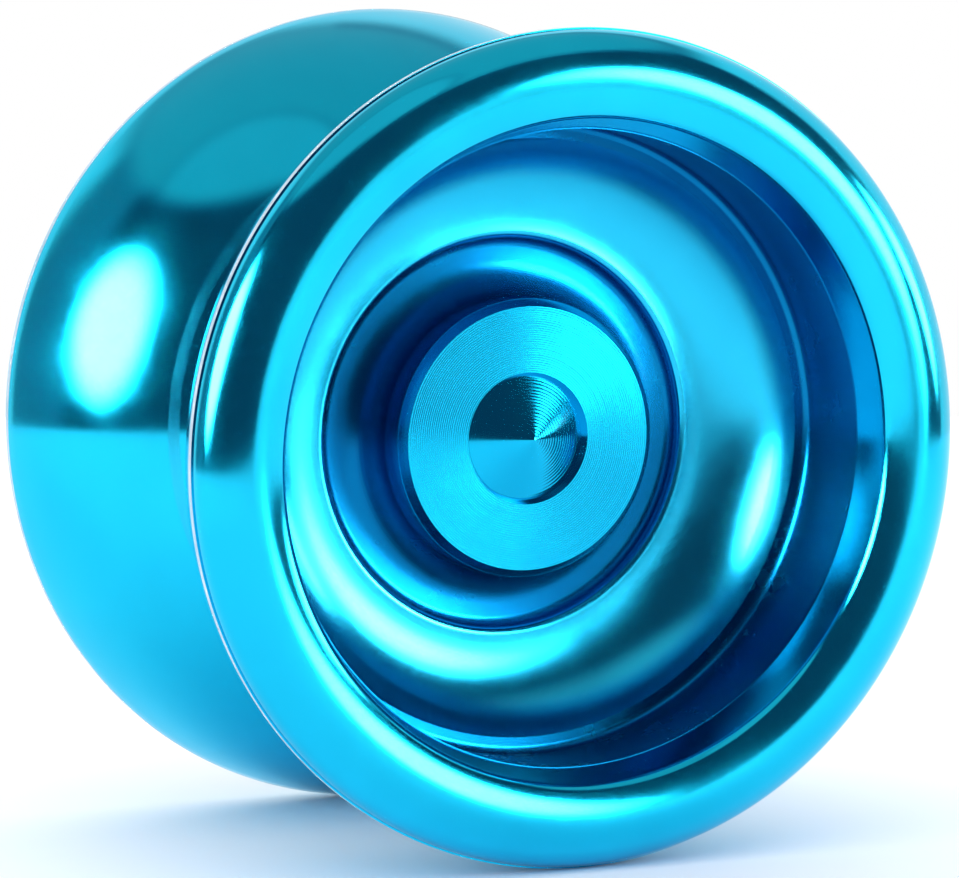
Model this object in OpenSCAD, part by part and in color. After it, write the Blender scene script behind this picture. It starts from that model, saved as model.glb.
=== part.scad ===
// Metal yo-yo: two turned halves on a grub-screw axle,
// with a shielded ball bearing that carries the string between them.
// The spin axis is Y. The origin is the bearing's centre. +Z is up.
// A turned outline is a list of [radius, distance from the middle plane, corner radius].

/* [Rim] */
// Radius of the rim at its bright outer land
rim_r = 26; // [25:0.25:27]
// Distance from the middle plane to the rim's outer edge
edge_y = 15.2; // [14.8:0.1:16]
// Width of the bright land at the largest diameter
land_w = 0.35; // [0.2:0.05:0.6]
// Step down from the land to the lip
land_step = 0.1; // [0.05:0.01:0.2]
// Radius of the lip's tight outer round
edge_round_r = 1.8; // [1.5:0.1:2.1]
// Turn of the tight outer round, in degrees
edge_turn = 42; // [38:1:46]
// Radius of the lip from the tight round up to its crest
lip_r = 3.5; // [3.2:0.1:3.8]
// Radius of the band that curves inwards from the crest
band_r = 4.5; // [4.2:0.1:6]
// Radius where the band turns down into the cup
mouth_r = 20.6; // [20.5:0.05:21]

/* [Cup] */
// Radius of the cup's wall
wall_r = 19.85; // [19.4:0.05:20.1]
// Distance from the rim's edge down to the top of the fine ridge on the wall
ridge_drop = 0.75; // [0.5:0.01:1.2]
// Width of the fine ridge on the wall
ridge_w = 1.15; // [0.6:0.05:1.6]
// Height of the fine ridge
ridge_h = 0.07; // [0.04:0.01:0.12]
// Distance from the middle plane to the flat ring at the wall's foot
foot_y = 8.07; // [7.8:0.01:8.4]
// Inner radius of the flat ring at the wall's foot
foot_r = 18.85; // [18.6:0.05:19]
// Radius of the dished ring's curve, between the recess and the wall's foot
dish_r = 6; // [5.8:0.1:8]
// Radius of the annular recess round the hub
recess_r = 12.4; // [12.3:0.05:12.8]
// Distance from the middle plane to the recess's edge
recess_edge_y = 4.5; // [4.4:0.01:4.8]
// Distance from the middle plane to the recess's floor
recess_floor_y = 3.5; // [3.4:0.01:3.6]

/* [Hub] */
// Radius of the hub
hub_r = 8.8; // [8.5:0.05:8.9]
// Distance from the middle plane to the hub's flat face
hub_face_y = 7.88; // [7.7:0.01:8.4]
// Height of the chamfer round the hub's face
hub_chamfer = 0.46; // [0.3:0.01:0.6]
// Radius of the cove at the hub's foot
cove_r = 2.1; // [1.8:0.05:2.2]
// Radius of the shallow centre cone at its base
cone_r = 3.9; // [3.4:0.05:4.3]
// Depth of the cone's base below the hub's face
cone_sink = 0.43; // [0.3:0.01:0.5]
// Height of the cone above its base
cone_h = 1.4; // [1.1:0.05:1.7]
// Radius of the cone's rounded tip
tip_r = 0.5; // [0.3:0.05:0.8]

/* [String gap] */
// Half of the gap between the two halves' walls
gap_half = 2.15; // [2.1:0.01:2.25]
// Radius where the flat gap wall turns into the bowl
bowl_start_r = 11.6; // [11:0.1:12.5]
// Radius of the bowl's curve
bowl_curve_r = 17; // [16:0.25:22]

/* [Response pads] */
// Inner radius of the response pad
pad_in_r = 7.35; // [7.35:0.01:7.5]
// Outer radius of the response pad
pad_out_r = 9.5; // [9.3:0.05:9.5]
// Thickness of the response pad
pad_t = 0.98; // [0.8:0.01:0.98]

/* [Axle] */
// Thread diameter of the grub-screw axle
axle_d = 4; // [3.9:0.05:4.1]
// Length of the axle
axle_len = 12; // [10.5:0.5:12]
// Width across flats of the axle's hexagon socket
socket_af = 2; // [1.5:0.1:2]
// Depth of the hexagon socket
socket_deep = 2; // [1:0.1:2.5]

/* [Bearing] */
// Bore diameter
bore_d = 6.35; // [6.35:0.01:6.36]
// Outside diameter
bearing_d = 12.7; // [12.69:0.01:12.7]
// Width
bearing_w = 4.76; // [4.74:0.01:4.76]
// Number of balls
ball_n = 8; // [8]
// Ball diameter
ball_d = 1.588; // [1.58:0.001:1.588]
// Diameter of the circle through the balls' centres
pitch_d = 9.525; // [9.52:0.001:9.53]

/* [Hidden] */
$fn = 96;
// Largest turn of one straight stretch in a rounded outline, in degrees
arc_step = 7.5;

// running clearance between turned parts that fit in one another
fit_gap = 0.015;
thread_gap = 0.02;
face_gap = 0.01;

// hub bore and bearing seat of each half
hole_r = axle_d / 2;
hole_end_y = 6.3;
drill_point = 0.6;
seat_r = bore_d / 2 - fit_gap;
seat_end_y = 0.25;
seat_lead = 0.15;
hole_lead = 0.3;
shoulder_r = 4;
shoulder_y = bearing_w / 2 + face_gap;
pocket_r = 6.95;
pocket_y = shoulder_y + 0.2;
pad_clear = 0.05;
groove_y = gap_half + pad_t + face_gap;

// lip and cup outline
edge_c = [rim_r - land_step - edge_round_r, edge_y];
lip_c = edge_c - (lip_r - edge_round_r) * [cos(edge_turn), sin(edge_turn)];
band_c = lip_c + [0, lip_r - band_r];
mouth_run = 0.45;
mouth_round = 0.9;
band_turn = acos((mouth_r + mouth_run - band_c.x) / band_r);
band_end = band_c + band_r * [cos(band_turn), sin(band_turn)];
mouth_y = band_end.y + mouth_run / tan(band_turn);
ridge_top_y = edge_y - ridge_drop;
foot_round = 0.5;
hub_foot_r = hub_r + 0.1;
recess_foot_r = recess_r - 0.15;
recess_round = 0.5;
bead_w = 0.55;
bead_h = 0.04;
cone_base_y = hub_face_y - cone_sink;
cone_slope = atan(cone_h / cone_r);
tip_y = cone_base_y + cone_h - tip_r / cos(cone_slope);

// bearing rings and their raceways
race_clear = 0.01;
ball_r = ball_d / 2;
pitch_r = pitch_d / 2;
raceway_r = 0.825;
inner_ring_r = 4.25;
outer_ring_r = 5.25;
inner_raceway_c = pitch_r - ball_r - race_clear + raceway_r;
outer_raceway_c = pitch_r + ball_r + race_clear - raceway_r;
ring_chamfer = 0.2;
// counterbore of the outer ring, for a shield and its snap ring
shield_seat_r = 5.8;
shield_in_y = 1.7;
shield_t = 0.2;
shield_in_r = 4.4;
snap_groove_r = 6;
snap_in_r = 5.4;
snap_t = 0.24;
snap_y = shield_in_y + shield_t + 2 * face_gap;
snap_opening = 26;
snap_clear = 0.04;
// cage, a crown that is open on one side
cage_in_r = 4.46;
cage_out_r = 5.06;
cage_back_y = 1.15;
cage_front_y = 0.5;
pocket_clear = 0.06;

// points along an arc round c, from angle a0 to a1
function arc(c, r, a0, a1) =
    let (n = max(1, ceil(abs(a1 - a0) / arc_step)))
    [for (i = [0:n]) c + r * [cos(a0 + (a1 - a0) * i / n), sin(a0 + (a1 - a0) * i / n)]];

function angle_of(v) = atan2(v.y, v.x);

// the shorter way round from angle a to angle b, as the end angle
function near_turn(a, b) = b - a > 180 ? b - 360 : b - a < -180 ? b + 360 : b;

// corner b between a and c, rounded to radius r
function corner(a, b, c, r) =
    let (u = (a - b) / norm(a - b),
        v = (c - b) / norm(c - b),
        half = acos(u * v) / 2,
        m = b + (u + v) / norm(u + v) * r / sin(half),
        a0 = angle_of(b + u * r / tan(half) - m),
        a1 = near_turn(a0, angle_of(b + v * r / tan(half) - m)))
    arc(m, r, a0, a1);

// the outline through a list of [x, y, corner radius], with its corners rounded
function rounded(p) =
    [for (i = [0:len(p) - 1])
        each p[i].z == 0 ? [[p[i].x, p[i].y]]
            : corner([p[i - 1].x, p[i - 1].y], [p[i].x, p[i].y], [p[i + 1].x, p[i + 1].y], p[i].z)];

// an arc of radius r from p to q, with its centre to the left of the way from p to q
function arc_between(p, q, r) =
    let (d = q - p,
        c = (p + q) / 2 + [-d.y, d.x] / norm(d) * sqrt(r * r - d * d / 4),
        a0 = angle_of(p - c))
    arc(c, r, a0, near_turn(a0, angle_of(q - c)));

function reversed(p) = [for (i = [len(p) - 1:-1:0]) p[i]];

// hub: from the cone's tip out to the recess
hub_outline = concat(
    arc([0, tip_y], tip_r, 90, 90 - cone_slope),
    rounded([
        [cone_r, cone_base_y, 0],
        [cone_r + 0.25, hub_face_y, 0],
        [hub_r - 0.5, hub_face_y, 0],
        [hub_r, hub_face_y - hub_chamfer, 0.2],
        [hub_foot_r, recess_floor_y, cove_r],
        [recess_foot_r, recess_floor_y, 0.6],
        [recess_r, recess_edge_y + bead_h, recess_round],
        [recess_r + bead_w, recess_edge_y, 0],
    ]));
// dished ring: from the recess's edge out to the wall's foot
dish_outline = arc_between([recess_r + bead_w, recess_edge_y], [foot_r, foot_y], dish_r);
// cup: from the flat ring at the wall's foot up to the mouth
cup_outline = rounded([
    [foot_r + 0.01, foot_y, 0],
    [wall_r, foot_y, foot_round],
    [wall_r, ridge_top_y - ridge_w, 0],
    [wall_r - ridge_h, ridge_top_y - ridge_w, 0],
    [wall_r - ridge_h, ridge_top_y, 0],
    [wall_r, ridge_top_y, 0],
    [mouth_r, mouth_y, mouth_round],
    [band_end.x, band_end.y, 0],
]);
// rim: over the crest, round the lip to the land, and down the bowl to the gap wall
bowl_start = [bowl_start_r, gap_half];
bowl_end = [rim_r, edge_y - land_w];
rim_outline = concat(
    arc(band_c, band_r, band_turn - 0.2, 90),
    arc(lip_c, lip_r, 89.8, edge_turn),
    arc(edge_c, edge_round_r, edge_turn - 0.2, 0),
    [[rim_r, edge_y]],
    reversed(arc_between(bowl_start, bowl_end, bowl_curve_r)));
// gap side: pad groove, bearing pocket, seat and tapped hole
gap_outline = [
    [0, hole_end_y + drill_point],
    [hole_r, hole_end_y],
    [hole_r, seat_end_y + hole_lead],
    [hole_r + hole_lead, seat_end_y],
    [seat_r - seat_lead, seat_end_y],
    [seat_r, seat_end_y + seat_lead],
    [seat_r, shoulder_y],
    [shoulder_r, shoulder_y],
    [shoulder_r + 0.1, pocket_y],
    [pocket_r, pocket_y],
    [pocket_r, gap_half],
    [pad_in_r - pad_clear, gap_half],
    [pad_in_r - pad_clear, groove_y],
    [pad_out_r + pad_clear, groove_y],
    [pad_out_r + pad_clear, gap_half],
];

// turns an outline of [radius, y] round the Y axis
module turned(outline) {
    rotate([-90, 0, 0])
        rotate_extrude()
            polygon(outline);
}

// a flat ring round the Y axis, from y0 to y1
module ring(r_in, r_out, y0, y1) {
    turned([[r_in, y0], [r_out, y0], [r_out, y1], [r_in, y1]]);
}

// a round bar along the Y axis, from y0 to y1
module bar(r, y0, y1, sides = $fn) {
    translate([0, y0, 0])
        rotate([-90, 0, 0])
            cylinder(r = r, h = y1 - y0, $fn = sides);
}

// a copy turned to the front side
module to_front() {
    mirror([0, 1, 0])
        children();
}

// one turned half, on the +Y side
module half() {
    turned(concat(hub_outline, dish_outline, cup_outline, rim_outline, reversed(gap_outline)));
}

// a flat ring of silicone in the half's groove, on the +Y side
module response_pad() {
    ring(pad_in_r, pad_out_r, gap_half, gap_half + pad_t);
}

// a ring of the bearing: chamfered bar with the balls' raceway turned into it
module race(r_in, r_out, raceway_c) {
    h = bearing_w / 2;
    c = ring_chamfer;
    rotate([-90, 0, 0])
        rotate_extrude()
            difference() {
                polygon([
                    [r_in, h - c], [r_in + c, h], [r_out - c, h], [r_out, h - c],
                    [r_out, c - h], [r_out - c, -h], [r_in + c, -h], [r_in, c - h],
                ]);
                translate([raceway_c, 0])
                    circle(r = raceway_r);
            }
}

// thin annular shield, on the +Y side
module shield() {
    y = shield_in_y + face_gap;
    ring(shield_in_r, shield_seat_r - snap_clear, y, y + shield_t);
}

// open wire ring that holds the shield in, on the +Y side
module snap_ring() {
    reach = snap_groove_r * 1.2;
    difference() {
        ring(snap_in_r, snap_groove_r - snap_clear, snap_y, snap_y + snap_t);
        translate([0, snap_y - 1, 0])
            rotate([-90, 0, 0])
                linear_extrude(snap_t + 2)
                    polygon([
                        [0, 0],
                        reach * [cos(90 - snap_opening / 2), sin(90 - snap_opening / 2)],
                        reach * [cos(90 + snap_opening / 2), sin(90 + snap_opening / 2)],
                    ]);
    }
}

module front_half() {
    color("#10b4d8")
        to_front()
            half();
}

module back_half() {
    color("#0ea3cc")
        half();
}

module axle() {
    color("#3a3d42")
        difference() {
            bar(hole_r - thread_gap, -axle_len / 2, axle_len / 2);
            bar(socket_af / 2 / cos(30), -axle_len / 2 - 1, socket_deep - axle_len / 2, 6);
        }
}

module front_response_pad() {
    color("#e9edf0")
        to_front()
            response_pad();
}

module back_response_pad() {
    color("#e9edf0")
        response_pad();
}

module bearing_outer_race() {
    h = bearing_w / 2;
    color("#c9ccd1")
        difference() {
            race(outer_ring_r, bearing_d / 2, outer_raceway_c);
            for (side = [0, 1])
                mirror([0, side, 0]) {
                    bar(shield_seat_r, shield_in_y, h + 1);
                    ring(0, snap_groove_r, snap_y - face_gap, snap_y + snap_t + face_gap);
                }
        }
}

module bearing_inner_race() {
    color("#c2c5cb")
        race(bore_d / 2, inner_ring_r, inner_raceway_c);
}

module bearing_cage() {
    color("#b9a16a")
        difference() {
            ring(cage_in_r, cage_out_r, -cage_back_y, cage_front_y);
            for (i = [0:ball_n - 1])
                rotate([0, 360 / ball_n * i, 0])
                    translate([0, 0, cage_in_r - 1])
                        cylinder(r = ball_r + pocket_clear, h = cage_out_r - cage_in_r + 2);
        }
}

module bearing_shield_front() {
    color("#aeb2b8")
        to_front()
            shield();
}

module bearing_shield_back() {
    color("#aeb2b8")
        shield();
}

module snap_ring_front() {
    color("#8d9198")
        to_front()
            snap_ring();
}

module snap_ring_back() {
    color("#8d9198")
        snap_ring();
}

// ball number i, counted round the bearing from the top
module ball(i) {
    color("#e6e8ea")
        rotate([0, 360 / ball_n * (i - 1), 0])
            translate([0, 0, pitch_r])
                sphere(r = ball_r);
}

front_half();
back_half();
axle();
front_response_pad();
back_response_pad();
bearing_outer_race();
bearing_inner_race();
bearing_cage();
bearing_shield_front();
bearing_shield_back();
snap_ring_front();
snap_ring_back();
ball(1);  // ball_1
ball(2);  // ball_2
ball(3);  // ball_3
ball(4);  // ball_4
ball(5);  // ball_5
ball(6);  // ball_6
ball(7);  // ball_7
ball(8);  // ball_8
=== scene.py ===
"""Looks of the metal yo-yo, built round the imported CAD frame.

Blender objects are in metres. The spin axis is Y, and the origin is the bearing's centre.
"""

import math

import bmesh
import bpy
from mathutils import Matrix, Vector


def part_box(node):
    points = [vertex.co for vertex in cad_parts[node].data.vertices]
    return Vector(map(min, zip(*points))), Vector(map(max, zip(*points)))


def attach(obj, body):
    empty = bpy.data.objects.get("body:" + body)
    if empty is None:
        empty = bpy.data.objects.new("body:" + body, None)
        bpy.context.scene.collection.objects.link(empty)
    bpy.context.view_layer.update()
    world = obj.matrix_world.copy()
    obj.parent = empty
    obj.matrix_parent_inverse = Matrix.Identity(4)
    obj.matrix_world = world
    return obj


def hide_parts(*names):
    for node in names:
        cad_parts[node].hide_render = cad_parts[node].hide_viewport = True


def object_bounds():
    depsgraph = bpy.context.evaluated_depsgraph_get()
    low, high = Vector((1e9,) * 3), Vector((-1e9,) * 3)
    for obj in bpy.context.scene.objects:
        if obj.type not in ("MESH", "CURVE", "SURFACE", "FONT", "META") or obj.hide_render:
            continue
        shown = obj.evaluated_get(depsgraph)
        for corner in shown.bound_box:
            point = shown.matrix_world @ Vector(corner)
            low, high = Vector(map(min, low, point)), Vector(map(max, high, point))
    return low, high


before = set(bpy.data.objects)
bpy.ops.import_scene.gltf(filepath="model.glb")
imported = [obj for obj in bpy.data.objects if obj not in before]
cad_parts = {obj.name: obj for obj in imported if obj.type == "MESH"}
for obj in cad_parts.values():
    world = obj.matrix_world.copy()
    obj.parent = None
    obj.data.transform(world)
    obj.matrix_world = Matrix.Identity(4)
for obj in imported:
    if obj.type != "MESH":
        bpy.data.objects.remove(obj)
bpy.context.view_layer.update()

MM = 0.001
RING_STEPS = 360          # stretches round a half
SMALL_RING_STEPS = 256    # stretches round a pad or a piece of the bearing
SHARP_TURN = math.radians(24)
FINE, COARSE = 2.5, 6.0   # degrees of turn in one stretch of an arc
FULL_TURN = 2 * math.pi

# ---------------------------------------------------------------- driving sizes, in millimetres
# names that end in _Y are distances from the middle plane, and those that end in _R are radii
RIM_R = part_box("front_half")[1].x / MM
EDGE_Y = 15.2             # the rim's outer edge
LAND_W, LAND_STEP = 0.35, 0.1
# the lip, from the rim inwards: three arcs, the first of which turns by EDGE_TURN degrees
EDGE_ROUND_R, EDGE_TURN, LIP_R, BAND_R = 1.8, 42, 3.5, 4.5
# the cup's mouth and wall, with a thin ridge on the wall, and the dished ring at its foot
MOUTH_R, MOUTH_RUN, MOUTH_ROUND, WALL_R = 20.6, 0.45, 0.9, 19.85
RIDGE_DROP, RIDGE_W, RIDGE_H = 0.75, 1.15, 0.07
FOOT_Y, FOOT_R, FOOT_ROUND, DISH_R = 8.07, 18.85, 0.5, 6.0
# the round recess, its beaded edge, the hub that stands in it and the hub's centre cone
RECESS_R, RECESS_EDGE_Y, RECESS_FLOOR_Y = 12.4, 4.5, 3.5
RECESS_ROUND, BEAD_W, BEAD_H = 0.5, 0.55, 0.04
HUB_R, HUB_FACE_Y, HUB_CHAMFER, COVE_R = 8.8, 7.88, 0.46, 2.1
HUB_CHAMFER_W, HUB_EDGE_ROUND, HUB_DRAFT, RECESS_DRAFT, RECESS_COVE_R = 0.5, 0.2, 0.1, 0.15, 0.6
CONE_R, CONE_SINK, CONE_H, TIP_R, CONE_FLARE = 3.9, 0.43, 1.4, 0.5, 0.25
# the gap side: the bowl, the pad's groove, the axle, its tapped hole, and the bearing's seat and pocket
GAP_HALF, BOWL_START_R, BOWL_CURVE_R = 2.15, 11.6, 17.0
PAD_IN_R, PAD_OUT_R, PAD_T, PAD_CLEAR, PAD_EDGE_ROUND = 7.35, 9.5, 0.98, 0.05, 0.08
AXLE_R, AXLE_HALF, SOCKET_AF, SOCKET_DEEP = 1.98, 6.0, 2.0, 2.0
HOLE_R, HOLE_END_Y, DRILL_POINT = 2.0, 6.3, 0.6
SEAT_R, SEAT_END_Y, SEAT_LEAD, HOLE_LEAD = 3.16, 0.25, 0.15, 0.3
SHOULDER_R, SHOULDER_H, SHOULDER_DRAFT, POCKET_R = 4.0, 0.2, 0.1, 6.95
FACE_GAP, GAP_ROUND = 0.01, 0.06
BEARING_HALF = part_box("bearing_outer_race")[1].y / MM
SHOULDER_Y = BEARING_HALF + FACE_GAP
POCKET_Y = SHOULDER_Y + SHOULDER_H


# ---------------------------------------------------------------- outlines of [radius, y]
def arc(c, r, a0, a1, step=FINE):
    n = max(1, math.ceil(abs(a1 - a0) / step))
    angles = [math.radians(a0 + (a1 - a0) * i / n) for i in range(n + 1)]
    return [(c[0] + r * math.cos(a), c[1] + r * math.sin(a)) for a in angles]


def heading(v):
    return math.degrees(math.atan2(v[1], v[0]))


def near_turn(a, b):
    return a + (b - a + 180) % 360 - 180


def corner(a, b, c, r, step):
    """Corner b between a and c, rounded to radius r."""
    a, b, c = Vector(a), Vector(b), Vector(c)
    u, v = (a - b).normalized(), (c - b).normalized()
    half = u.angle(v) / 2
    m = b + (u + v).normalized() * (r / math.sin(half))
    reach = r / math.tan(half)
    a0 = heading(b + u * reach - m)
    return arc(m, r, a0, near_turn(a0, heading(b + v * reach - m)), step)


def rounded(points, step=COARSE):
    """The outline through (radius, y, corner radius) points, with its corners rounded."""
    out = []
    for i, (x, y, r) in enumerate(points):
        if r == 0:
            out.append((x, y))
        else:
            before, after = points[i - 1][:2], points[(i + 1) % len(points)][:2]
            out += corner(before, (x, y), after, r, step)
    return out


def arc_between(p, q, r):
    """An arc of radius r from p to q, with its centre to the left of the way from p to q."""
    p, q = Vector(p), Vector(q)
    d = q - p
    side = Vector((-d.y, d.x)).normalized()
    c = (p + q) / 2 + side * math.sqrt(r * r - d.length_squared / 4)
    a0 = heading(p - c)
    return arc(c, r, a0, near_turn(a0, heading(q - c)))


def thinned(p, closest=0.004):
    """The outline without points that lie on the one before."""
    out = [p[0]]
    for q in p[1:]:
        if math.dist(q, out[-1]) > closest:
            out.append(q)
    return out


# ---------------------------------------------------------------- mesh building
def new_piece(name, mesh, body, slot, material, *nodes):
    piece = bpy.data.objects.new(name, mesh)
    bpy.context.scene.collection.objects.link(piece)
    for m in material if isinstance(material, (list, tuple)) else [material]:
        mesh.materials.append(m)
    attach(piece, body)
    if nodes:
        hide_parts(*nodes)
    return piece


def lofted_mesh(name, rings, numbers=None, closed=True):
    """A skin over rings of points, each with the same count or a single point.

    numbers holds one material number for each stretch between rings.
    """
    bm = bmesh.new()
    loops = [[bm.verts.new(p) for p in ring] for ring in rings]
    steps = max(len(loop) for loop in loops)
    for k in range(len(loops) if closed else len(loops) - 1):
        here, there = loops[k], loops[(k + 1) % len(loops)]
        if len(here) == 1 and len(there) == 1:
            continue
        for i in range(steps):
            j = (i + 1) % steps
            corners = [here[i % len(here)], here[j % len(here)], there[j % len(there)], there[i % len(there)]]
            face = bm.faces.new(list(dict.fromkeys(corners)))
            face.smooth = True
            face.material_index = numbers[k] if numbers else 0
    bmesh.ops.recalc_face_normals(bm, faces=bm.faces)
    mesh = bpy.data.meshes.new(name)
    bm.to_mesh(mesh)
    bm.free()
    mesh.set_sharp_from_angle(angle=SHARP_TURN)
    return mesh


def ring_points(r, y, steps):
    """Points round the Y axis in metres, from millimetres. r is a radius, or a function of the angle."""
    if not callable(r) and r < 1e-6:
        return [(0, y * MM, 0)]
    turns = [FULL_TURN * i / steps for i in range(steps)]
    radii = [(r(t) if callable(r) else r) * MM for t in turns]
    return [(d * math.sin(t), y * MM, d * math.cos(t)) for d, t in zip(radii, turns)]


def turned_mesh(name, outline, side=1, steps=RING_STEPS, regions=None):
    """A closed outline of (radius, y) in millimetres, turned round the Y axis.

    side -1 mirrors it to the front. regions(radius, y) gives the material number of a stretch.
    """
    outline = thinned(outline)
    numbers = None
    if regions:
        ends = outline[1:] + outline[:1]
        numbers = [regions((p[0] + q[0]) / 2, (p[1] + q[1]) / 2) for p, q in zip(outline, ends)]
    return lofted_mesh(name, [ring_points(r, side * y, steps) for r, y in outline], numbers)


# ---------------------------------------------------------------- node helpers
AXIAL_SHARE = 0.83        # a slope's marks follow the way along the axis a little less than the radius
WANDER_PITCHES, WANDER_DEPTH = 6, 9.0     # how slowly and how far the turning marks drift
MARK_HEIGHT = 0.00001     # metres, of the turning marks
EVEN = (0.35, 0.65)       # the middle of a noise's range, where most of its values lie


class Nodes:
    """The node tree of a new material or of the world, with short names for the nodes that they share."""

    def __init__(self, owner, shader="Principled BSDF", place="Object"):
        self.owner = bpy.data.materials.new(owner) if isinstance(owner, str) else owner
        self.owner.use_nodes = True
        self.tree = self.owner.node_tree
        self.shader = self.tree.nodes[shader]
        self.place = self.add("ShaderNodeTexCoord").outputs[place]

    def add(self, kind, **settings):
        node = self.tree.nodes.new(kind)
        for key, value in settings.items():
            setattr(node, key, value)
        return node

    def link(self, out, into):
        self.tree.links.new(out, into)

    def math(self, operation, a, b=None, c=None):
        node = self.add("ShaderNodeMath", operation=operation)
        for socket, value in zip(node.inputs, (a, b, c)):
            if value is None:
                continue
            if isinstance(value, (int, float)):
                socket.default_value = value
            else:
                self.link(value, socket)
        return node.outputs[0]

    def noise(self, scale, detail=3.0, place=None, roughness=0.5):
        node = self.add("ShaderNodeTexNoise")
        node.inputs["Scale"].default_value = scale
        node.inputs["Detail"].default_value = detail
        node.inputs["Roughness"].default_value = roughness
        self.link(place or self.place, node.inputs["Vector"])
        return node.outputs["Fac"]

    def dot(self, vector):
        node = self.add("ShaderNodeVectorMath", operation="DOT_PRODUCT")
        self.link(self.place, node.inputs[0])
        node.inputs[1].default_value = vector
        return node.outputs["Value"]

    def blend(self, a, b, share):
        """From a to b as share goes from 0 to 1."""
        return self.math("MULTIPLY_ADD", self.math("SUBTRACT", b, a), share, a)

    def range(self, value, low, high, from_low=0.0, from_high=1.0, curve="LINEAR"):
        node = self.add("ShaderNodeMapRange", clamp=True, interpolation_type=curve)
        self.link(value, node.inputs["Value"])
        limits = {"From Min": from_low, "From Max": from_high, "To Min": low, "To Max": high}
        for name, number in limits.items():
            node.inputs[name].default_value = number
        return node.outputs["Result"]

    def turning(self):
        """How far along a lathe tool's path a point lies: radius plus the way along the axis, in metres."""
        part = self.add("ShaderNodeSeparateXYZ")
        self.link(self.place, part.inputs[0])
        x, y, z = part.outputs
        radius = self.math("SQRT", self.math("ADD", self.math("MULTIPLY", x, x), self.math("MULTIPLY", z, z)))
        return self.math("ADD", radius, self.math("MULTIPLY", self.math("ABSOLUTE", y), AXIAL_SHARE))

    def grooves(self, pitch):
        """Fine turning marks, from 0 to 1, at that pitch in metres and slightly uneven."""
        way = self.turning()
        line = self.add("ShaderNodeCombineXYZ")
        self.link(way, line.inputs[0])
        wander = self.noise(1 / (pitch * WANDER_PITCHES), 4.0, line.outputs[0])
        turns = self.math("MULTIPLY", way, FULL_TURN / pitch)
        phase = self.math("ADD", turns, self.math("MULTIPLY", wander, WANDER_DEPTH))
        return self.math("MULTIPLY_ADD", self.math("SINE", phase), 0.5, 0.5)

    def bump(self, height, strength, distance):
        node = self.add("ShaderNodeBump")
        node.inputs["Strength"].default_value = strength
        node.inputs["Distance"].default_value = distance
        self.link(height, node.inputs["Height"])
        self.link(node.outputs[0], self.shader.inputs["Normal"])

    def radial_tangent(self):
        node = self.add("ShaderNodeTangent", direction_type="RADIAL", axis="Y")
        self.link(node.outputs[0], self.shader.inputs["Tangent"])

    def set(self, **values):
        for name, value in values.items():
            self.shader.inputs[name.replace("_", " ")].default_value = value

    def tint(self, value, low, high):
        """Mixes two colours by value into the base colour."""
        mix = self.add("ShaderNodeMix", data_type="RGBA")
        self.link(value, mix.inputs["Factor"])
        mix.inputs["A"].default_value = (*low, 1)
        mix.inputs["B"].default_value = (*high, 1)
        self.link(mix.outputs["Result"], self.shader.inputs["Base Color"])


# ---------------------------------------------------------------- materials
ACROSS_GROOVES = 0.25     # a quarter turn, so that gloss spreads across the turning marks
DYE = ((0.006, 0.51, 0.75), (0.008, 0.58, 0.83))
# a little darker than DYE: painted shade at the bottom of the cup
DYE_HUB_PAINTED_SHADE = ((0.003, 0.40, 0.66), (0.004, 0.46, 0.72))
DYE_SATIN = ((0.013, 0.46, 0.70), (0.018, 0.52, 0.77))
# much darker than DYE: painted shade of the recess floor and the cup's wall
DYE_TURNED_PAINTED_SHADE = ((0.001, 0.14, 0.35), (0.002, 0.19, 0.42))


def anodised(name, dye, rough, smudged, pitch, strength, grain=0.0, anisotropic=0.0, coat=0.08):
    """Dyed anodised aluminium: a tinted metal under a thin clear oxide, with turning marks and a little wear.

    pitch is that of the turning marks in metres, and strength is how strongly they show. dye is the pair of
    base colours that noise mixes; the darker pairs given for the hub and the turned surfaces are painted
    shade.
    """
    n = Nodes(name)
    n.set(Metallic=1.0, Coat_Weight=coat, Coat_Roughness=0.06, Coat_IOR=1.6, Anisotropic=anisotropic,
          Anisotropic_Rotation=ACROSS_GROOVES)
    n.tint(n.range(n.noise(scale=70, detail=3), 0.0, 1.0, *EVEN), *dye)
    smudge = n.range(n.noise(scale=160, detail=5, roughness=0.62), 0.0, 1.0, 0.42, 0.72)
    n.link(n.math("MULTIPLY_ADD", smudge, smudged, rough), n.shader.inputs["Roughness"])
    height = n.grooves(pitch)
    if grain:
        height = n.math("ADD", height, n.math("MULTIPLY", n.noise(scale=9000, detail=2), grain))
    n.bump(height, strength, MARK_HEIGHT)
    n.radial_tangent()
    return n.owner


def bare_edge_and_painted_sheen():
    """The land at the largest diameter, where the dye is thin and the metal shows. Its lighter colour also
    paints in the white reflection that this land gives at a grazing angle.
    """
    n = Nodes("edge_land")
    n.set(Metallic=0.45)
    n.tint(n.range(n.noise(scale=420, detail=4), 0.0, 1.0, *EVEN), (0.36, 0.52, 0.62), (0.58, 0.68, 0.76))
    n.link(n.range(n.noise(scale=900, detail=3), 0.22, 0.38), n.shader.inputs["Roughness"])
    n.bump(n.grooves(0.00006), 0.25, MARK_HEIGHT)
    return n.owner


def steel(name, dark, light, rough, pitch, strength, anisotropic=0.5):
    """Bare or coated metal between two colours, with turning marks like those of anodised."""
    n = Nodes(name)
    n.set(Metallic=1.0, Anisotropic=anisotropic, Anisotropic_Rotation=ACROSS_GROOVES)
    n.tint(n.range(n.noise(scale=600, detail=4), 0.0, 1.0, *EVEN), dark, light)
    n.link(n.range(n.noise(scale=1400, detail=4), rough * 0.75, rough * 1.35), n.shader.inputs["Roughness"])
    n.bump(n.grooves(pitch), strength, MARK_HEIGHT)
    n.radial_tangent()
    return n.owner


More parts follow.
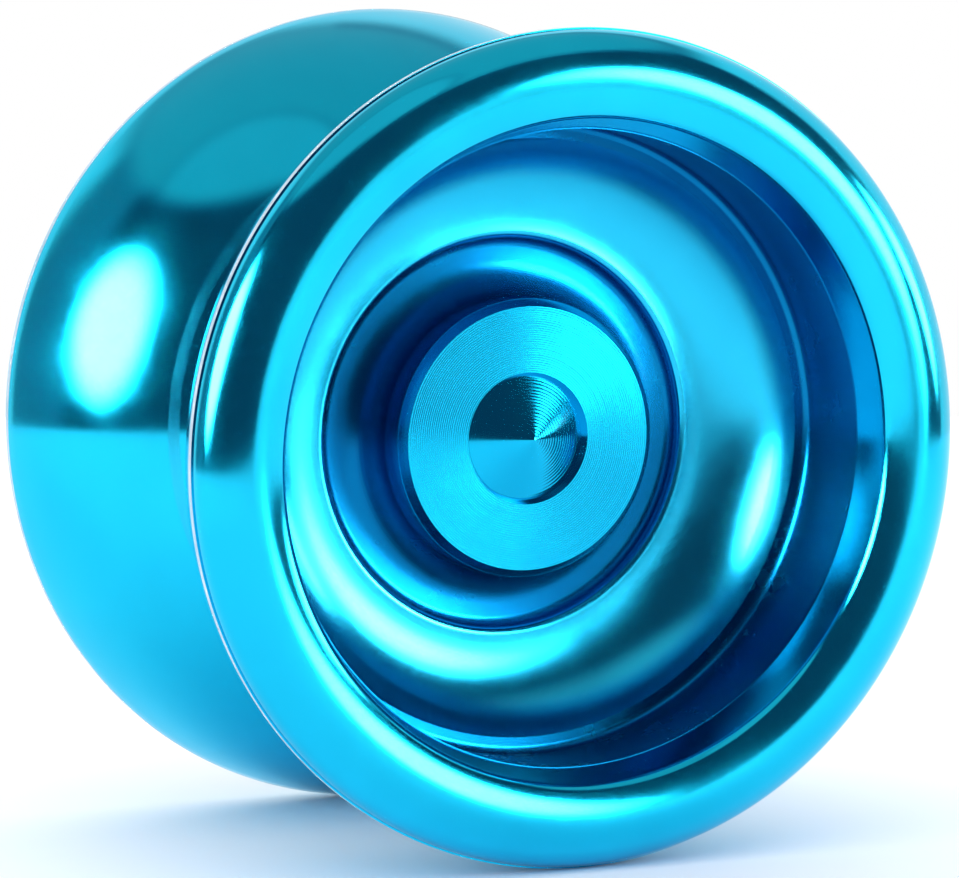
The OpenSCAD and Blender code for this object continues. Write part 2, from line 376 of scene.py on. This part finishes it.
def silicone():
    n = Nodes("silicone")
    n.set(Subsurface_Weight=0.25, Subsurface_Radius=(0.0008, 0.0008, 0.0008))
    n.set(IOR=1.41, Specular_IOR_Level=0.4)
    n.tint(n.range(n.noise(scale=500, detail=5), 0.0, 1.0, 0.3, 0.7), (0.74, 0.77, 0.79), (0.86, 0.88, 0.89))
    n.link(n.range(n.noise(scale=1500, detail=4), 0.45, 0.62), n.shader.inputs["Roughness"])
    n.bump(n.noise(scale=6000, detail=4), 0.35, 0.00002)
    return n.owner


# ---------------------------------------------------------------- the two turned halves
def hub_outline():
    """From the centre cone's tip out to the recess's edge."""
    cone_base = HUB_FACE_Y - CONE_SINK
    slope = math.degrees(math.atan2(CONE_H, CONE_R))
    tip = cone_base + CONE_H - TIP_R / math.cos(math.radians(slope))
    return arc((0, tip), TIP_R, 90, 90 - slope) + rounded([
        (CONE_R, cone_base, 0),
        (CONE_R + CONE_FLARE, HUB_FACE_Y, 0),
        (HUB_R - HUB_CHAMFER_W, HUB_FACE_Y, 0),
        (HUB_R, HUB_FACE_Y - HUB_CHAMFER, HUB_EDGE_ROUND),
        (HUB_R + HUB_DRAFT, RECESS_FLOOR_Y, COVE_R),
        (RECESS_R - RECESS_DRAFT, RECESS_FLOOR_Y, RECESS_COVE_R),
        (RECESS_R, RECESS_EDGE_Y + BEAD_H, RECESS_ROUND),
        (RECESS_R + BEAD_W, RECESS_EDGE_Y, 0),
    ])


def cup_outline():
    """From the dished ring's foot up the wall, over the lip and out to the rim."""
    edge_c = Vector((RIM_R - LAND_STEP - EDGE_ROUND_R, EDGE_Y))
    turn = math.radians(EDGE_TURN)
    lip_c = edge_c - (LIP_R - EDGE_ROUND_R) * Vector((math.cos(turn), math.sin(turn)))
    band_c = lip_c + Vector((0, LIP_R - BAND_R))
    band_turn = math.acos((MOUTH_R + MOUTH_RUN - band_c.x) / BAND_R)
    band_end = band_c + BAND_R * Vector((math.cos(band_turn), math.sin(band_turn)))
    ridge = EDGE_Y - RIDGE_DROP
    cup = rounded([
        (FOOT_R + FACE_GAP, FOOT_Y, 0),
        (WALL_R, FOOT_Y, FOOT_ROUND),
        (WALL_R, ridge - RIDGE_W, 0),
        (WALL_R - RIDGE_H, ridge - RIDGE_W, 0),
        (WALL_R - RIDGE_H, ridge, 0),
        (WALL_R, ridge, 0),
        (MOUTH_R, band_end.y + MOUTH_RUN / math.tan(band_turn), MOUTH_ROUND),
        (band_end.x, band_end.y, 0),
    ], step=FINE)
    band = arc(band_c, BAND_R, math.degrees(band_turn), 90)
    lip = arc(lip_c, LIP_R, 90, EDGE_TURN) + arc(edge_c, EDGE_ROUND_R, EDGE_TURN, 0)
    return cup + band + lip + [(RIM_R, EDGE_Y)]


def gap_outline():
    """From the flat gap wall in: the pad's groove, the bearing's pocket and seat, and the tapped hole."""
    groove_y = GAP_HALF + PAD_T + FACE_GAP
    return rounded([
        (PAD_OUT_R + PAD_CLEAR, GAP_HALF, PAD_EDGE_ROUND),
        (PAD_OUT_R + PAD_CLEAR, groove_y, 0),
        (PAD_IN_R - PAD_CLEAR, groove_y, 0),
        (PAD_IN_R - PAD_CLEAR, GAP_HALF, GAP_ROUND),
        (POCKET_R, GAP_HALF, GAP_ROUND),
        (POCKET_R, POCKET_Y, 0),
        (SHOULDER_R + SHOULDER_DRAFT, POCKET_Y, 0),
        (SHOULDER_R, SHOULDER_Y, 0),
        (SEAT_R, SHOULDER_Y, 0),
        (SEAT_R, SEAT_END_Y + SEAT_LEAD, 0),
        (SEAT_R - SEAT_LEAD, SEAT_END_Y, 0),
        (HOLE_R + HOLE_LEAD, SEAT_END_Y, 0),
        (HOLE_R, SEAT_END_Y + HOLE_LEAD, 0),
        (HOLE_R, HOLE_END_Y, 0),
        (0, HOLE_END_Y + DRILL_POINT, 0),
    ])


def half_outline():
    dish = arc_between((RECESS_R + BEAD_W, RECESS_EDGE_Y), (FOOT_R, FOOT_Y), DISH_R)
    bowl = arc_between((BOWL_START_R, GAP_HALF), (RIM_R, EDGE_Y - LAND_W), BOWL_CURVE_R)[::-1]
    return hub_outline() + dish + cup_outline() + bowl + gap_outline()


# the edge land's finish holds a painted reflection, and the hub's and the turned finishes hold painted shade
POLISHED, SATIN, EDGE_PAINTED_SHEEN, HUB_FINISH_PAINTED_SHADE, TURNED_PAINTED_SHADE = range(5)
HAIR, NEAR_EDGE = 0.01, 0.1


def half_region(r, y):
    """Which finish a stretch of the half's outline has. The edge land's finish holds a painted reflection,
    and the hub's and the turned finishes hold painted shade.
    """
    # the land at the largest diameter: thin dye, and a painted reflection in its lighter colour
    if r > RIM_R - 2 * HAIR:
        return EDGE_PAINTED_SHEEN
    if RECESS_R < r < FOOT_R and RECESS_EDGE_Y - NEAR_EDGE < y < FOOT_Y:
        return SATIN
    # the hub, whose finish has a slightly darker colour that is painted shade
    if r < HUB_R + HAIR and y > HUB_FACE_Y - HUB_CHAMFER - 3 * NEAR_EDGE:
        return HUB_FINISH_PAINTED_SHADE
    # the recess floor and the cup's wall take the turned finish, whose darker colour is painted shade
    if HUB_R < r < RECESS_R - NEAR_EDGE and RECESS_FLOOR_Y - HAIR < y < RECESS_FLOOR_Y + COVE_R:
        return TURNED_PAINTED_SHADE
    if FOOT_R < r < WALL_R + HAIR and FOOT_Y - HAIR < y < EDGE_Y:
        return TURNED_PAINTED_SHADE
    return POLISHED


def make_halves():
    finishes = [
        anodised("anodised_polished", DYE, rough=0.10, smudged=0.05, pitch=0.00009, strength=0.05,
                 anisotropic=0.35),
        anodised("anodised_satin", DYE_SATIN, rough=0.19, smudged=0.05, pitch=0.00007, strength=0.14,
                 grain=1.6, anisotropic=0.2),
        # the land at the largest diameter: thin dye and a painted reflection
        bare_edge_and_painted_sheen(),
        # the hub: turned marks, and painted shade in its slightly darker colour
        anodised("anodised_hub", DYE_HUB_PAINTED_SHADE, rough=0.11, smudged=0.04, pitch=0.00014, strength=0.22,
                 anisotropic=0.4),
        # the recess floor and the cup's wall: turned marks, and painted shade in the darker colour
        anodised("anodised_turned", DYE_TURNED_PAINTED_SHADE, rough=0.24, smudged=0.06, pitch=0.00010, strength=0.15,
                 anisotropic=0.8, coat=0.02),
    ]
    outline = half_outline()
    for node, body, side in (("front_half", "front_half", -1), ("back_half", "spinner", 1)):
        mesh = turned_mesh(node + "_turned", outline, side, regions=half_region)
        new_piece(node + "_turned", mesh, body, "anodised_aluminium", finishes, node)


# ---------------------------------------------------------------- axle, pads and bearing
PITCH, THREAD_DEPTH, END_CHAMFER = 0.7, 0.32, 0.42
FLANK_SLOPE, FLANK_START = 2.4, 0.7       # shares of the depth: gained over half a pitch, and taken off
THREAD_STEPS, AXLE_STEPS = 8, 72          # levels in one pitch, stretches round the axle
SOCKET_DRILL_R, SOCKET_DRILL_POINT, SOCKET_CHAMFER, SOCKET_MOUTH_R = 0.85, 0.35, 0.18, 1.27


def make_axle():
    """A grub screw: a rolled thread, a chamfer at each end and a hexagon socket at the front."""
    def crest(y, turn):
        lead = (y / PITCH - turn / FULL_TURN) % 1
        flank = min(1, max(0, FLANK_SLOPE * abs(2 * lead - 1) - FLANK_START))
        return AXLE_R - THREAD_DEPTH * flank

    def threaded(y):
        end = AXLE_R - END_CHAMFER + (AXLE_HALF - abs(y))
        return lambda turn: min(end, crest(y, turn))

    def hexagon(turn):
        return SOCKET_AF / 2 / math.cos(math.radians(math.degrees(turn) % 60 - 30))

    count = round(2 * AXLE_HALF / PITCH * THREAD_STEPS)
    levels = [AXLE_HALF * (2 * k / count - 1) for k in range(count + 1)]
    bottom = -AXLE_HALF + SOCKET_DEEP
    socket = [
        (0, bottom + SOCKET_DRILL_POINT),
        (SOCKET_DRILL_R, bottom),
        (hexagon, bottom),
        (hexagon, -AXLE_HALF + SOCKET_CHAMFER),
        (SOCKET_MOUTH_R, -AXLE_HALF),
    ]
    rings = socket + [(threaded(y), y) for y in levels] + [(0, AXLE_HALF)]
    mesh = lofted_mesh("threaded_axle", [ring_points(r, y, AXLE_STEPS) for r, y in rings], closed=False)
    finish = steel("axle_black_oxide", (0.035, 0.037, 0.042), (0.10, 0.10, 0.11),
                   rough=0.30, pitch=0.00009, strength=0.2)
    new_piece("threaded_axle", mesh, "spinner", "axle_steel", finish, "axle")


PAD_LIP_ROUND, PAD_BACK_ROUND, PAD_FLAT, PAD_SINK = 0.16, 0.10, 0.5, 0.001     # PAD_FLAT is half its width


def make_pads():
    """Silicone rings with rounded lips and a face that is a hair lower in the middle."""
    finish = silicone()
    y0, y1 = GAP_HALF, GAP_HALF + PAD_T
    middle = (PAD_IN_R + PAD_OUT_R) / 2
    outline = rounded([
        (PAD_IN_R, y1, PAD_BACK_ROUND),
        (PAD_IN_R, y0, PAD_LIP_ROUND),
        (middle - PAD_FLAT, y0 + PAD_SINK, 0),
        (middle + PAD_FLAT, y0 + PAD_SINK, 0),
        (PAD_OUT_R, y0, PAD_LIP_ROUND),
        (PAD_OUT_R, y1, PAD_BACK_ROUND),
    ])
    places = (("front_response_pad", "front_pad_carrier", -1), ("back_response_pad", "spinner", 1))
    for name, body, side in places:
        mesh = turned_mesh(name + "_cast", outline, side, SMALL_RING_STEPS)
        new_piece(name + "_cast", mesh, body, "silicone", finish, name)


BORE_R, OUTER_R, INNER_LAND_R, OUTER_LAND_R = 3.175, 6.35, 4.25, 5.25
RACEWAY_R, PITCH_R, BALL_R, RACE_CLEAR = 0.825, 4.7625, 0.794, 0.01
SHIELD_SEAT_R, SHIELD_IN_Y, SHIELD_T, SHIELD_IN_R = 5.8, 1.7, 0.2, 4.4
SNAP_R, SNAP_T, SNAP_Y = 6.0, 0.24, 1.92
RING_ROUND, SEAT_ROUND = 0.2, 0.08


def raceway(centre, land, inward):
    """The arc of the balls' groove, cut into the land at that radius, from -Y to +Y."""
    reach = math.degrees(math.acos(abs(land - centre) / RACEWAY_R))
    middle = 180 if inward else 0
    turn = (middle + reach, middle - reach) if inward else (middle - reach, middle + reach)
    return arc((centre, 0), RACEWAY_R, *turn)


def make_races():
    finish = steel("race_ground", (0.50, 0.51, 0.53), (0.66, 0.67, 0.69),
                   rough=0.13, pitch=0.00005, strength=0.12)
    h = BEARING_HALF
    inner_c = PITCH_R - BALL_R - RACE_CLEAR + RACEWAY_R
    corners = [(BORE_R, h), (BORE_R, -h), (INNER_LAND_R, -h), (INNER_LAND_R, h)]
    ring = rounded([(r, y, RING_ROUND) for r, y in corners])
    before = len(ring) * 3 // 4
    inner = ring[:before] + raceway(inner_c, INNER_LAND_R, True) + ring[before:]
    mesh = turned_mesh("bearing_inner_race_ground", inner, 1, SMALL_RING_STEPS)
    new_piece("bearing_inner_race_ground", mesh, "spinner", "bearing_steel", finish, "bearing_inner_race")

    outer_c = PITCH_R + BALL_R + RACE_CLEAR - RACEWAY_R
    groove = (SNAP_Y - FACE_GAP, SNAP_Y + SNAP_T + FACE_GAP)
    half = [
        (OUTER_LAND_R, SHIELD_IN_Y),
        (SHIELD_SEAT_R, SHIELD_IN_Y),
        (SHIELD_SEAT_R, groove[0]),
        (SNAP_R, groove[0]),
        (SNAP_R, groove[1]),
        (SHIELD_SEAT_R, groove[1]),
        (SHIELD_SEAT_R, h - SEAT_ROUND),
        (SHIELD_SEAT_R + SEAT_ROUND, h),
    ] + corner((SHIELD_SEAT_R, h), (OUTER_R, h), (OUTER_R, 0), RING_ROUND, COARSE)
    outer = raceway(outer_c, OUTER_LAND_R, False) + half + [(r, -y) for r, y in half[::-1]]
    mesh = turned_mesh("bearing_outer_race_ground", outer, 1, SMALL_RING_STEPS)
    new_piece("bearing_outer_race_ground", mesh, "string_side", "bearing_steel", finish, "bearing_outer_race")


SHIELD_EDGE, SHIELD_BEND, SHIELD_BEND_W = 0.04, 0.02, 0.25
SHIELD_STEP, SHIELD_STEP_W, SHIELD_STEP_ROUND = 0.07, 0.12, 0.05
SHIELD_OUTER_BAND, SHIELD_INNER_BAND = 0.46, 0.18


def make_shields():
    """Pressed washers with a shallow step between their inner and outer edges."""
    finish = steel("shield_pressed", (0.42, 0.43, 0.45), (0.56, 0.57, 0.59),
                   rough=0.22, pitch=0.00012, strength=0.25)
    y0 = SHIELD_IN_Y + FACE_GAP
    y1 = y0 + SHIELD_T
    outer = SHIELD_SEAT_R - SHIELD_EDGE
    step_out = outer - SHIELD_OUTER_BAND
    step_in = SHIELD_IN_R + SHIELD_INNER_BAND
    outline = rounded([
        (SHIELD_IN_R, y0 + SHIELD_BEND, SHIELD_EDGE),
        (SHIELD_IN_R + SHIELD_BEND_W, y0, 0),
        (outer, y0, SHIELD_EDGE),
        (outer, y1, SHIELD_EDGE),
        (step_out, y1, SHIELD_STEP_ROUND),
        (step_out - SHIELD_STEP_W, y1 - SHIELD_STEP, SHIELD_STEP_ROUND),
        (step_in + SHIELD_STEP_W, y1 - SHIELD_STEP, SHIELD_STEP_ROUND),
        (step_in, y1, SHIELD_STEP_ROUND),
        (SHIELD_IN_R, y1, SHIELD_EDGE),
    ])
    for name, side in (("bearing_shield_front", -1), ("bearing_shield_back", 1)):
        mesh = turned_mesh(name + "_pressed", outline, side, SMALL_RING_STEPS)
        new_piece(name + "_pressed", mesh, "string_side", "shield_steel", finish, name)


def finish_small_steel():
    """The cage, snap rings and balls keep their CAD shapes and take these finishes."""
    brass = steel("cage_brass", (0.50, 0.34, 0.12), (0.72, 0.52, 0.22),
                  rough=0.28, pitch=0.00008, strength=0.3, anisotropic=0.2)
    spring = steel("spring_wire", (0.20, 0.20, 0.21), (0.34, 0.34, 0.35),
                   rough=0.26, pitch=0.00006, strength=0.2, anisotropic=0.2)
    polished = steel("ball_polished", (0.62, 0.63, 0.64), (0.70, 0.71, 0.72),
                     rough=0.05, pitch=0.00004, strength=0.03, anisotropic=0.0)
    finishes = {"bearing_cage": brass, "snap_ring_front": spring, "snap_ring_back": spring}
    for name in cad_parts:
        finish = finishes.get(name, polished if name.startswith("ball_") else None)
        if finish is None:
            continue
        mesh = bpy.data.objects[name].data
        for i in range(len(mesh.materials)):
            mesh.materials[i] = finish
        if not mesh.materials:
            mesh.materials.append(finish)


# ---------------------------------------------------------------- stage
AZIMUTH, ELEVATION = -25.6, 6.4       # degrees, of the camera round the object
CAMERA_FAR = 0.388                    # metres
AIM = (0.00035, -0.00082)             # where the camera looks, right of and above the origin, in metres
LENS, SENSOR = 228.5, 36.0            # millimetres
FLOOR_R, FLOOR_STEPS = 250.0, 96      # millimetres, stretches round


def make_floor():
    """A white disc just under the yo-yo. It ends where the dark room starts in the reflections."""
    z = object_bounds()[0].z
    rings = [[(x, y, z) for x, _, y in ring_points(r, 0, FLOOR_STEPS)] for r in (0, FLOOR_R)]
    mesh = lofted_mesh("floor", rings, closed=False)
    if mesh.polygons[0].normal.z < 0:
        mesh.flip_normals()
    floor = bpy.data.objects.new("floor", mesh)
    bpy.context.scene.collection.objects.link(floor)
    n = Nodes("floor_white")
    n.set(Roughness=0.9, Specular_IOR_Level=0.0)
    n.tint(n.noise(scale=3, detail=2), (0.93, 0.93, 0.94), (0.96, 0.96, 0.96))
    mesh.materials.append(n.owner)


def studio_way(azimuth, elevation):
    """The direction so many degrees to the right of the photo camera and above the horizon."""
    a, e = math.radians(azimuth + AZIMUTH), math.radians(elevation)
    return (math.sin(a) * math.cos(e), -math.cos(a) * math.cos(e), math.sin(e))


# round lights: degrees right of the photo camera, degrees up, angular radius, soft edge, brightness
SOFTBOXES = (
    (-52, 17.5, 15, 5.0, 50.0),
    (64, 9, 10.5, 5.0, 30.0),
    (97, 7, 7, 4.0, 20.0),
)
LOW_CARD = (57, -5, 9, 3.0, 1.0)
CEILING_CARDS = ((-16, 52, 28.5, 1.5, -0.10), (-16, 52, 26.5, 1.5, 0.22))
DARK, SIDE, CEILING, BACKDROP, FILL = 0.12, 0.34, 0.54, 1.05, 1.5
LATER_SHARE = 0.12        # share of a softbox's brightness that reflections after the first one see
FIRST_REFLECTION = (2.4, 2.6)             # ray depths that part the first reflection from later ones
COOL = (0.5, 0.66, 1.0)   # tint of the dark room
# where one zone fades into the next, in degrees to the right of the camera or above the horizon
SIDE_EDGE, BACKDROP_EDGE, CEILING_EDGE, BACKDROP_TOP = (-76, -66), (100, 112), (46, 53), (40, 52)


def make_world():
    """A white cyclorama. Only reflections see the dark room behind the camera and the round softboxes."""
    world = bpy.data.worlds.new("studio")
    bpy.context.scene.world = world
    world.cycles.sampling_method = "NONE"
    n = Nodes(world, "Background", "Generated")

    def lit(level, light):
        azimuth, elevation, radius, soft, brightness = light
        edge = [math.cos(math.radians(radius + d)) for d in (soft, -soft)]
        glow = n.range(n.dot(studio_way(azimuth, elevation)), 0, brightness, *edge, "SMOOTHSTEP")
        return n.math("ADD", level, glow)

    degrees = 180 / math.pi
    up = n.math("MULTIPLY", n.math("ARCSINE", n.dot((0, 0, 1))), degrees)
    across = n.math("MULTIPLY", n.math("ARCTAN2", n.dot(studio_way(90, 0)), n.dot(studio_way(0, 0))), degrees)
    level = n.blend(DARK, SIDE, n.range(across, 1, 0, *SIDE_EDGE, "SMOOTHSTEP"))
    ceiling = CEILING
    for light in CEILING_CARDS:
        ceiling = lit(ceiling, light)
    level = n.blend(level, ceiling, n.range(up, 0, 1, *CEILING_EDGE, "SMOOTHSTEP"))
    behind = n.range(n.math("ABSOLUTE", across), 0, 1, *BACKDROP_EDGE, "SMOOTHSTEP")
    low = n.range(up, 1, 0, *BACKDROP_TOP, "SMOOTHSTEP")
    level = n.blend(level, BACKDROP, n.math("MULTIPLY", behind, low))
    level = lit(level, LOW_CARD)
    glow = 0.0
    for light in SOFTBOXES:
        glow = lit(glow, light)
    ray = n.add("ShaderNodeLightPath").outputs
    share = n.range(ray["Ray Depth"], 1, LATER_SHARE, *FIRST_REFLECTION)
    room = n.add("ShaderNodeMix", data_type="RGBA")
    white = n.math("MAXIMUM", n.range(n.math("ADD", level, glow), 0, 1, DARK, CEILING), ray["Is Camera Ray"])
    n.link(white, room.inputs["Factor"])
    room.inputs["A"].default_value = (*COOL, 1)
    room.inputs["B"].default_value = (1, 1, 1, 1)
    n.link(room.outputs["Result"], n.shader.inputs["Color"])
    level = n.math("MULTIPLY_ADD", glow, share, level)
    seen = n.blend(n.blend(FILL, level, ray["Is Glossy Ray"]), 1.0, ray["Is Camera Ray"])
    n.link(seen, n.shader.inputs["Strength"])


def make_camera():
    """A long lens that looks at the yo-yo from the front, a little from the left and from above."""
    back = Vector(studio_way(0, ELEVATION))
    turn = (-back).to_track_quat("-Z", "Y")
    right, up = turn @ Vector((1, 0, 0)), turn @ Vector((0, 1, 0))
    data = bpy.data.cameras.new("photo_camera")
    data.lens, data.sensor_width = LENS, SENSOR
    data.clip_start, data.clip_end = 0.01, 10
    camera = bpy.data.objects.new("photo_camera", data)
    camera.rotation_mode = "QUATERNION"
    camera.rotation_quaternion = turn
    camera.location = back * CAMERA_FAR + right * AIM[0] + up * AIM[1]
    bpy.context.scene.collection.objects.link(camera)
    bpy.context.scene.camera = camera


make_camera()
make_floor()
make_world()
make_halves()
make_axle()
make_pads()
make_races()
make_shields()
finish_small_steel()
bpy.context.scene.view_settings.view_transform = "Standard"
